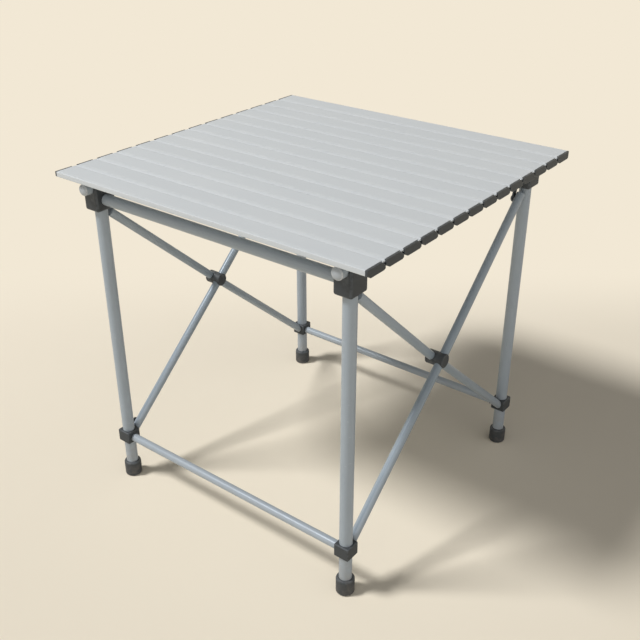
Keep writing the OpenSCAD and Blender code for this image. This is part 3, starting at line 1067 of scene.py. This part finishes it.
# %% [markdown]
# ## Rivets and pins
# A rivet inside each hub joins its halves, and pins in the ends of the braces carry a flat head behind
# the lug. They are turned rods and hardly show, but the frame turns on them, so they are made in full.

# %% Rivets and pins
PIN_R = 3 * MM
PIN_LIP = 0.4 * MM
PIN_TIP = 6.2 * MM
PIN_STEPS = 28
HEAD_R = 5 * MM
HEAD_T = 2 * MM
HEAD_LIP = 0.6 * MM
HEAD_CLEAR = 0.3 * MM
HEAD_X = LUG_X + LUG_T + HEAD_CLEAR
RIVET_INSIDE = 1 * MM
RIVET_REACH = BRACE_R - RIVET_INSIDE


def rod(radius, low, high, lip=PIN_LIP):
    low_end = [(0, low), (radius - lip, low), (radius, low + lip)]
    high_end = [(radius, high - lip), (radius - lip, high), (0, high)]
    return put(keep_grain(turn(low_end + high_end, PIN_STEPS)), TO_X)


def brace_pin():
    shank = rod(PIN_R, -HEAD_X - HEAD_T / 2, PIN_TIP)
    head = rod(HEAD_R, -HEAD_X - HEAD_T, -HEAD_X, HEAD_LIP)
    return gather([shank, head])


rivets = []
for side_x in SIDES.values():
    rivet = rod(PIN_R, -BENDS[-1] - RIVET_REACH, BENDS[1] + RIVET_REACH)
    rivets.append(put(rivet, Matrix.Translation((side_x, 0, hub_z))))
finish_piece("hub_rivet_pair", gather(rivets), "front_braces", "rivet_steel", ["hub_rivets"])

for end, s in ENDS.items():
    pins = []
    for side_x in SIDES.values():
        for e in (-1, 1):
            spot = (side_x, e * pin_y, hub_z + s * e * (pin_top - hub_z))
            pins.append(put(brace_pin(), Matrix.Translation(spot)))
    finish_piece(f"brace_pins_{end}", gather(pins), f"{end}_braces", "rivet_steel", [f"pins_{end}"])
print("rivets 2, pins 8")

# %% [markdown]
# ## The floor
# The floor runs without a visible edge into a cream background. A curved backdrop would do that too, but
# it needs its own light. Here the floor near the table is an ordinary matt surface that takes the shadow,
# with painted shade that makes it a little darker towards the viewer; further out, and behind the
# table, it fades into the background colour.

# %% Floor
CREAM = (0.888, 0.807, 0.665, 1.0)
FLOOR_DEEP = (0.875, 0.79, 0.645, 1.0)
FLOOR_PALE = (0.9, 0.82, 0.68, 1.0)
# painted shade: the darker floor colour towards the viewer stands for the light falling off there
FLOOR_PAINTED_SHADE = (0.80, 0.725, 0.595, 1.0)
FLOOR_R = 9.0
NEARER = (0.2, -0.98)  # the ways over the floor along which it darkens and fades, and their spans in metres
FURTHER = (-0.61, 0.79)
NEARER_SPAN = (-0.2, 0.9)
FURTHER_SPAN = (0.42, 0.98)
OUTER_SPAN = (1.3, 3.2)

floor_bm = bmesh.new()
bmesh.ops.create_circle(floor_bm, cap_ends=True, radius=FLOOR_R, segments=64)
floor_mesh = new_mesh("floor", floor_bm)
floor = new_object("floor", floor_mesh)
floor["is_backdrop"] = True

floor_finish = Finish("studio_floor", Roughness=0.9, Specular_IOR_Level=0.0)
place = floor_finish.place()
east, north, _ = floor_finish.parts(place)
distance = (east * east + north * north).root()
# painted shade: a gradient that darkens the floor towards the viewer, as the light falls off
painted_near_shade = (NEARER[0] * east + NEARER[1] * north).between(*NEARER_SPAN)
further = (FURTHER[0] * east + FURTHER[1] * north).between(*FURTHER_SPAN)
speckle = floor_finish.noise(place, 3.0, 4.0)
base = floor_finish.mix(speckle, FLOOR_DEEP, FLOOR_PALE)
# the painted shade is mixed into the floor colour here
floor_finish.feed(Base_Color=floor_finish.mix(painted_near_shade, base, FLOOR_PAINTED_SHADE))
glow = floor_finish.make("ShaderNodeEmission", sockets={"Color": CREAM, "Strength": 1.0})
matt = Wire(floor_finish, floor_finish.shader.outputs[0])
near_part = (1 - distance.between(*OUTER_SPAN)) * (1 - further)
blended = floor_finish.make("ShaderNodeMixShader", sockets={0: near_part, 1: glow, 2: matt})
floor_finish.join(blended, floor_finish.tree.nodes["Material Output"].inputs["Surface"])
floor_mesh.materials.append(floor_finish.material)
print("floor radius", FLOOR_R, "m")

# %% [markdown]
# ## The light
# One far, soft lamp shines from the front and the left, which throws the shadow of the top to the right
# and to the rear. The surroundings fill the rest, most of all from low down and from the viewer's side; a
# second lamp there would throw a second shadow. The camera, and whatever mirrors or lets through, sees
# the cream background instead.

# %% Surroundings and lamp
FILL = grey(0.8)
FILL_WAY = (0.5, -0.34, -0.25)  # where the fill is strongest
FILL_NONE = -0.45
FILL_FULL = 0.55
LAMP_PLACE = (-5.31, -5.86, 10.9)
LAMP_SIZE = 2.95
LAMP_POWER = 1465

world = bpy.data.worlds.new("studio")
bpy.context.scene.world = world
world.use_nodes = True
sky = Nodes(world.node_tree)
sky.tree.nodes.remove(sky.tree.nodes["Background"])
seen = sky.make("ShaderNodeLightPath", out="Is Camera Ray")
mirrored = sky.make("ShaderNodeLightPath", out="Is Glossy Ray")
let_through = sky.make("ShaderNodeLightPath", out="Is Transmission Ray")
way = sky.make("ShaderNodeTexCoord", out="Generated")
dot = {"operation": "DOT_PRODUCT"}
side = sky.make("ShaderNodeVectorMath", dot, {0: way, 1: FILL_WAY}, out="Value")
span = {"Value": side, "From Min": FILL_NONE, "From Max": FILL_FULL}
level = sky.make("ShaderNodeMapRange", sockets=span)
fill = sky.make("ShaderNodeBackground", sockets={"Color": FILL, "Strength": level})
shown = sky.make("ShaderNodeBackground", sockets={"Color": CREAM, "Strength": 1.0})
shows = seen.most(mirrored.most(let_through))
chosen = sky.make("ShaderNodeMixShader", sockets={0: shows, 1: fill, 2: shown})
sky.join(chosen, sky.tree.nodes["World Output"].inputs["Surface"])

lamp_data = bpy.data.lights.new("soft_lamp", "AREA")
lamp_data.shape = "DISK"
lamp_data.size = LAMP_SIZE
lamp_data.energy = LAMP_POWER
lamp = new_object("soft_lamp", lamp_data)
lamp.location = LAMP_PLACE
lamp.rotation_euler = lamp.location.to_track_quat("Z", "Y").to_euler()
bpy.context.scene.view_settings.view_transform = "Standard"
print("lamp at", LAMP_PLACE)

# %% [markdown]
# ## Sizes and the end
# The dressed table must fill the same box as the construction model, so its box is printed here, as that
# of the construction model was at the start.

# %% Sizes and finish
low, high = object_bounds()
print("visual model, mm:", sides_mm(low, high))
